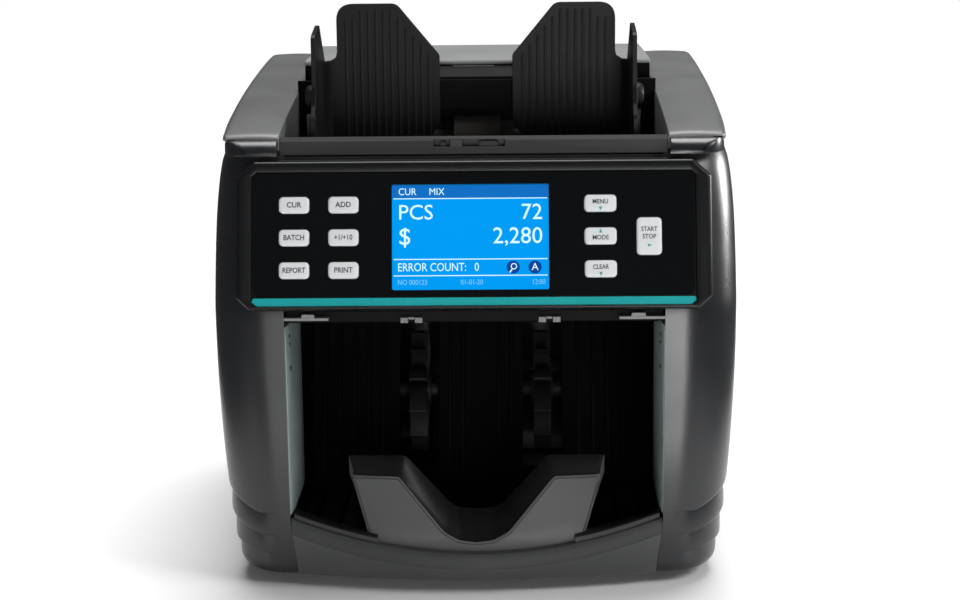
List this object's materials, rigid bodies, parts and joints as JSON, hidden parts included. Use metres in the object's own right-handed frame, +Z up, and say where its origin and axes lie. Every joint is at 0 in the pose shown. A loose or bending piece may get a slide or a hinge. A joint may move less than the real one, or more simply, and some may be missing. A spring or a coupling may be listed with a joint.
{
  "type": "banknote counter",
  "caption": "Desktop banknote counter: feed hopper with sliding note guides, tilted key panel with a display, delivery pocket with a V-cut note stop.",
  "frame": {"origin": "centre of the bounding box in plan, on the surface the feet stand on", "axes": "+Z up; the front, with the key panel and the delivery pocket, faces -Y; +X is on the right for a viewer facing the front"},
  "size_m": [0.253, 0.248, 0.2756],
  "materials": {
    "shell_dark": "satin moulded",
    "shell_light": "satin moulded",
    "bezel_dark": "satin moulded",
    "panel_gloss": "polished",
    "lcd_blue": "lit display",
    "teal": "painted",
    "key_grey": "soft keys",
    "guide_dark": "moulded, ribbed",
    "black_inner": "moulded",
    "pocket_grey": "satin moulded",
    "rubber": "matt",
    "steel": "brushed",
    "pcb_green": "solder resist"
  },
  "bodies": {
    "housing": {"side_cover_left": "shell_dark", "side_cover_right": "shell_dark", "rear_cover": "shell_dark", "base_front": "shell_dark", "upper_cheek_left": "shell_light", "upper_cheek_right": "shell_light", "hopper_lip": "shell_light", "front_bezel": "bezel_dark", "panel_glass": "panel_gloss", "lcd_display": "lcd_blue", "teal_strip": "teal", "keypad_board": "pcb_green", "main_board": "pcb_green", "base_tray": "black_inner", "hopper_floor": "black_inner", "hopper_back": "black_inner", "feed_gate": "black_inner", "pocket_ceiling": "black_inner", "pocket_header": "black_inner", "pocket_back": "black_inner", "sensor_bar": "black_inner", "power_inlet": "black_inner", "pocket_wall_left": "pocket_grey", "pocket_wall_right": "pocket_grey", "note_stop": "pocket_grey", "foot_front_left": "rubber", "foot_front_right": "rubber", "foot_rear_left": "rubber", "foot_rear_right": "rubber", "retard_roller": "rubber", "belt_motor": "rubber", "belt_stacker": "rubber", "belt_feed": "rubber", "belt_pickup": "rubber", "side_frame_left": "steel", "side_frame_right": "steel", "drive_motor": "steel", "power_supply": "steel"},
    "note_guide_left": {"note_guide_left": "guide_dark"},
    "note_guide_right": {"note_guide_right": "guide_dark"},
    "guide_pinion": {"guide_pinion": "key_grey"},
    "top_cover": {"top_cover": "shell_light"},
    "pickup": {"pickup_rollers": "rubber"},
    "feed": {"feed_rollers": "rubber"},
    "drum": {"main_drum": "rubber"},
    "pinch": {"pinch_rollers": "steel"},
    "stacker": {"stacker_wheels": "rubber"},
    "motor_shaft": {"motor_pulley": "steel"},
    "rocker": {"power_rocker": "key_grey"},
    "knob": {"gap_knob": "key_grey"},
    "key_currency": {"key_currency": "key_grey"},
    "key_add": {"key_add": "key_grey"},
    "key_batch": {"key_batch": "key_grey"},
    "key_step": {"key_step": "key_grey"},
    "key_report": {"key_report": "key_grey"},
    "key_print": {"key_print": "key_grey"},
    "key_menu": {"key_menu": "key_grey"},
    "key_mode": {"key_mode": "key_grey"},
    "key_clear": {"key_clear": "key_grey"},
    "key_start": {"key_start": "key_grey"}
  },
  "joints": [
    {"name": "guide_left_slide", "type": "slide", "parent": "housing", "child": "note_guide_left", "axis": [1, 0, 0], "range_m": [-0.008, 0.016]},
    {"name": "guide_right_slide", "type": "slide", "parent": "housing", "child": "note_guide_right", "axis": [1, 0, 0], "range_m": [-0.016, 0.008]},
    {"name": "pinion_turn", "type": "hinge", "parent": "housing", "child": "guide_pinion", "pos_m": [0, -0.062, 0.192], "axis": [0, 0, 1], "range_deg": [-120, 235]},
    {"name": "top_cover_hinge", "type": "hinge", "parent": "housing", "child": "top_cover", "pos_m": [0, 0.1115, 0.241], "axis": [-1, 0, 0], "range_deg": [0, 80]},
    {"name": "drum_spin", "type": "hinge", "parent": "housing", "child": "drum", "pos_m": [0, 0.06, 0.157], "axis": [1, 0, 0], "continuous": true},
    {"name": "feed_spin", "type": "hinge", "parent": "housing", "child": "feed", "pos_m": [0, -0.004, 0.176], "axis": [1, 0, 0], "continuous": true},
    {"name": "pickup_spin", "type": "hinge", "parent": "housing", "child": "pickup", "pos_m": [0, -0.036, 0.189], "axis": [1, 0, 0], "continuous": true},
    {"name": "pinch_spin", "type": "hinge", "parent": "housing", "child": "pinch", "pos_m": [0, 0.09515, 0.16194], "axis": [1, 0, 0], "continuous": true},
    {"name": "stacker_spin", "type": "hinge", "parent": "housing", "child": "stacker", "pos_m": [0, 0.044, 0.058], "axis": [1, 0, 0], "continuous": true},
    {"name": "motor_spin", "type": "hinge", "parent": "housing", "child": "motor_shaft", "pos_m": [0, 0.092, 0.033], "axis": [1, 0, 0], "continuous": true},
    {"name": "key_currency_press", "type": "slide", "parent": "housing", "child": "key_currency", "axis": [0, 0.9613, -0.2756], "range_m": [0, 0.0008], "stiffness_N_per_m": 500},
    {"name": "key_add_press", "type": "slide", "parent": "housing", "child": "key_add", "axis": [0, 0.9613, -0.2756], "range_m": [0, 0.0008], "stiffness_N_per_m": 500},
    {"name": "key_batch_press", "type": "slide", "parent": "housing", "child": "key_batch", "axis": [0, 0.9613, -0.2756], "range_m": [0, 0.0008], "stiffness_N_per_m": 500},
    {"name": "key_step_press", "type": "slide", "parent": "housing", "child": "key_step", "axis": [0, 0.9613, -0.2756], "range_m": [0, 0.0008], "stiffness_N_per_m": 500},
    {"name": "key_report_press", "type": "slide", "parent": "housing", "child": "key_report", "axis": [0, 0.9613, -0.2756], "range_m": [0, 0.0008], "stiffness_N_per_m": 500},
    {"name": "key_print_press", "type": "slide", "parent": "housing", "child": "key_print", "axis": [0, 0.9613, -0.2756], "range_m": [0, 0.0008], "stiffness_N_per_m": 500},
    {"name": "key_menu_press", "type": "slide", "parent": "housing", "child": "key_menu", "axis": [0, 0.9613, -0.2756], "range_m": [0, 0.0008], "stiffness_N_per_m": 500},
    {"name": "key_mode_press", "type": "slide", "parent": "housing", "child": "key_mode", "axis": [0, 0.9613, -0.2756], "range_m": [0, 0.0008], "stiffness_N_per_m": 500},
    {"name": "key_clear_press", "type": "slide", "parent": "housing", "child": "key_clear", "axis": [0, 0.9613, -0.2756], "range_m": [0, 0.0008], "stiffness_N_per_m": 500},
    {"name": "key_start_press", "type": "slide", "parent": "housing", "child": "key_start", "axis": [0, 0.9613, -0.2756], "range_m": [0, 0.0008], "stiffness_N_per_m": 500},
    {"name": "rocker_tilt", "type": "hinge", "parent": "housing", "child": "rocker", "pos_m": [-0.042, 0.1166, 0.035], "axis": [1, 0, 0], "range_deg": [-8, 8]},
    {"name": "knob_turn", "type": "hinge", "parent": "housing", "child": "knob", "pos_m": [0, 0.1179, 0.214], "axis": [0, 1, 0], "range_deg": [-270, 270]}
  ],
  "couplings": [
    {"joint": "guide_right_slide", "follows": "guide_left_slide", "ratio": -1},
    {"joint": "pinion_turn", "follows": "guide_left_slide", "rad_per_m": 250},
    {"joint": "feed_spin", "follows": "drum_spin", "ratio": 1.25},
    {"joint": "pickup_spin", "follows": "drum_spin", "ratio": 1.25},
    {"joint": "stacker_spin", "follows": "drum_spin", "ratio": 0.4},
    {"joint": "motor_spin", "follows": "drum_spin", "ratio": 2.2857},
    {"joint": "pinch_spin", "follows": "drum_spin", "ratio": -4.8333}
  ]
}
